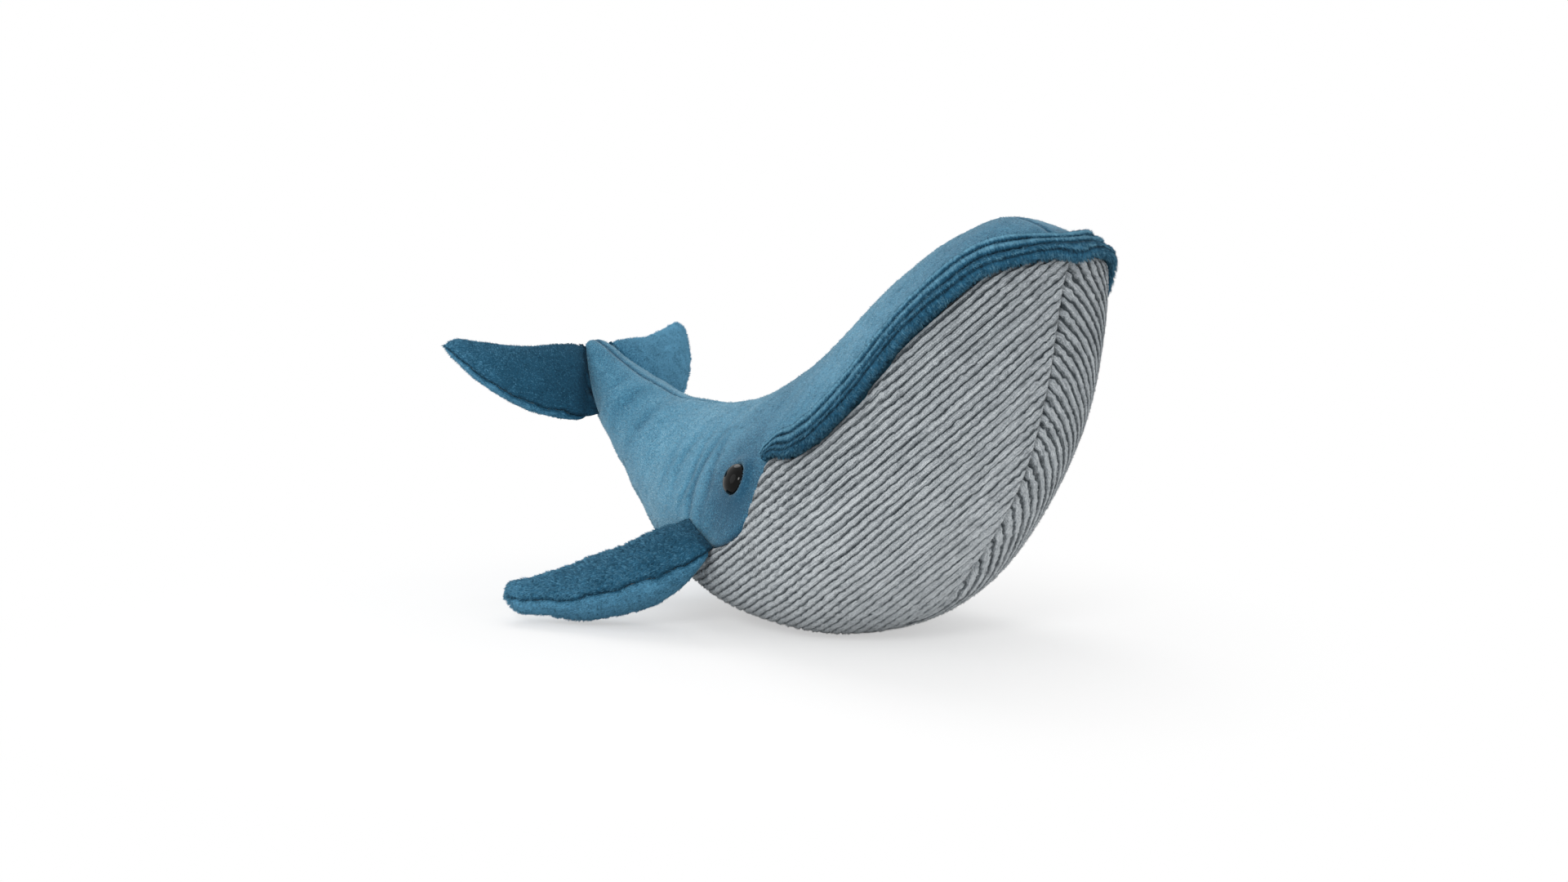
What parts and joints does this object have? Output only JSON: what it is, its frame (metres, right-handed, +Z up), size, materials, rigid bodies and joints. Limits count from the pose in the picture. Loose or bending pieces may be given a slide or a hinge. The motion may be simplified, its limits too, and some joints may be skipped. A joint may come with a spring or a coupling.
{
  "type": "plush whale",
  "caption": "Stuffed plush whale lying on its belly with its head raised, a ribbed grey belly, padded lip rolls, sewn flippers and tail flukes.",
  "frame": {"origin": "on the surface it lies on, under the middle of its bounding box", "axes": "+Z up, -Y the way the whale faces, +X its left side"},
  "size_m": [0.2806, 0.4382, 0.2398],
  "materials": {
    "plush_blue": "short soft pile",
    "plush_deep_blue": "short soft pile",
    "corduroy_grey": "wide soft ribs",
    "fibre_filling": "loose fibre",
    "pouch_cloth": "plain weave",
    "eye_plastic": "polished dome",
    "washer_plastic": "as moulded"
  },
  "bodies": {
    "body": {"back_left": "plush_blue", "back_right": "plush_blue", "belly_left": "corduroy_grey", "belly_right": "corduroy_grey", "eye_left": "eye_plastic", "eye_right": "eye_plastic", "eye_washer_left": "washer_plastic", "eye_washer_right": "washer_plastic", "lip_roll_inner": "plush_deep_blue", "lip_roll_middle": "plush_deep_blue", "lip_roll_outer": "plush_deep_blue", "pellet_pouch": "pouch_cloth", "stuffing_body": "fibre_filling", "stuffing_head": "fibre_filling", "stuffing_tail": "fibre_filling"},
    "flipper_left": {"flipper_left_upper": "plush_deep_blue", "flipper_left_lower": "plush_deep_blue", "stuffing_flipper_left": "fibre_filling"},
    "flipper_right": {"flipper_right_upper": "plush_deep_blue", "flipper_right_lower": "plush_deep_blue", "stuffing_flipper_right": "fibre_filling"},
    "fluke_left": {"fluke_left_upper": "plush_deep_blue", "fluke_left_lower": "plush_deep_blue", "stuffing_fluke_left": "fibre_filling"},
    "fluke_right": {"fluke_right_upper": "plush_deep_blue", "fluke_right_lower": "plush_deep_blue", "stuffing_fluke_right": "fibre_filling"}
  },
  "joints": [
    {"name": "flipper_left_root", "type": "hinge", "parent": "body", "child": "flipper_left", "pos_m": [0.07843, -0.0032, 0.05679], "axis": [0.2219, -0.8959, -0.3848], "range_deg": [-10, 60], "stiffness_Nm_per_rad": 0.1},
    {"name": "flipper_right_root", "type": "hinge", "parent": "body", "child": "flipper_right", "pos_m": [-0.07843, -0.0032, 0.05679], "axis": [0.2219, 0.8959, 0.3848], "range_deg": [-10, 60], "stiffness_Nm_per_rad": 0.1},
    {"name": "fluke_left_root", "type": "hinge", "parent": "body", "child": "fluke_left", "pos_m": [0.01848, 0.17376, 0.12621], "axis": [0.2378, -0.5251, -0.8172], "range_deg": [-25, 30], "stiffness_Nm_per_rad": 0.1},
    {"name": "fluke_right_root", "type": "hinge", "parent": "body", "child": "fluke_right", "pos_m": [-0.01848, 0.17376, 0.12621], "axis": [0.2378, 0.5251, 0.8172], "range_deg": [-25, 30], "stiffness_Nm_per_rad": 0.1}
  ]
}
